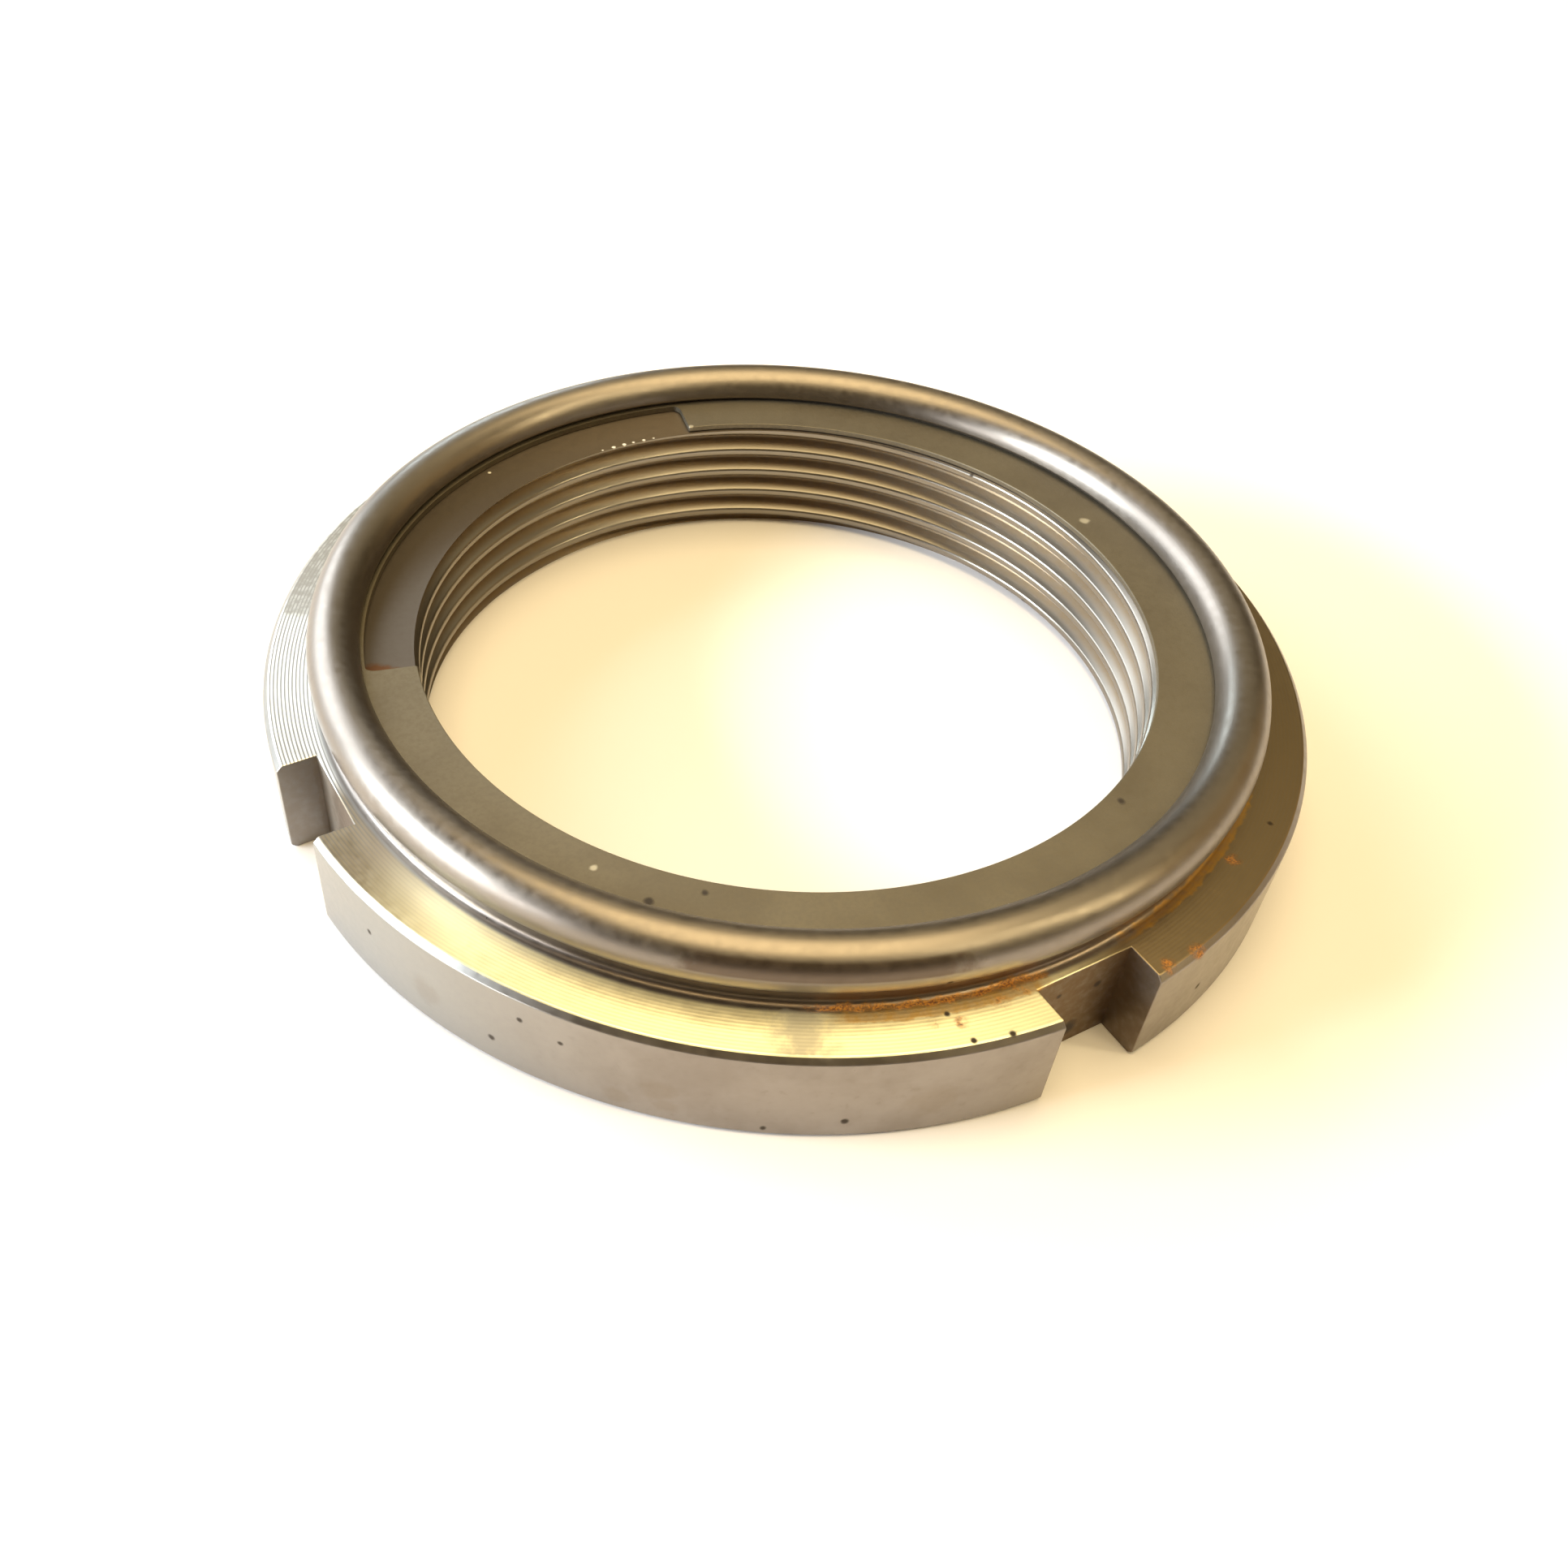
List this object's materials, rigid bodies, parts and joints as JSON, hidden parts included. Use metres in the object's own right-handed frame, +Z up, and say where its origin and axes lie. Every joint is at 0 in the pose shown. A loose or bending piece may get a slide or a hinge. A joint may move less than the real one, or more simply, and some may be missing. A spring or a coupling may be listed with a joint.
{
  "type": "slotted round nut",
  "caption": "Round steel nut with spanner slots in its flange and a sheet locking ring held under a rolled lip above the threaded bore.",
  "frame": {"origin": "centre of the flange's flat lower face, on the thread axis", "axes": "+Z up along the thread axis towards the rolled lip; +X and +Y each through the middle of a spanner slot"},
  "size_m": [0.0746, 0.0746, 0.0121],
  "materials": {
    "body_steel": "turned, worn, lightly stained",
    "ring_steel": "dull rolled sheet"
  },
  "bodies": {
    "root": {"nut_body": "body_steel", "locking_ring": "ring_steel"}
  },
  "joints": []
}
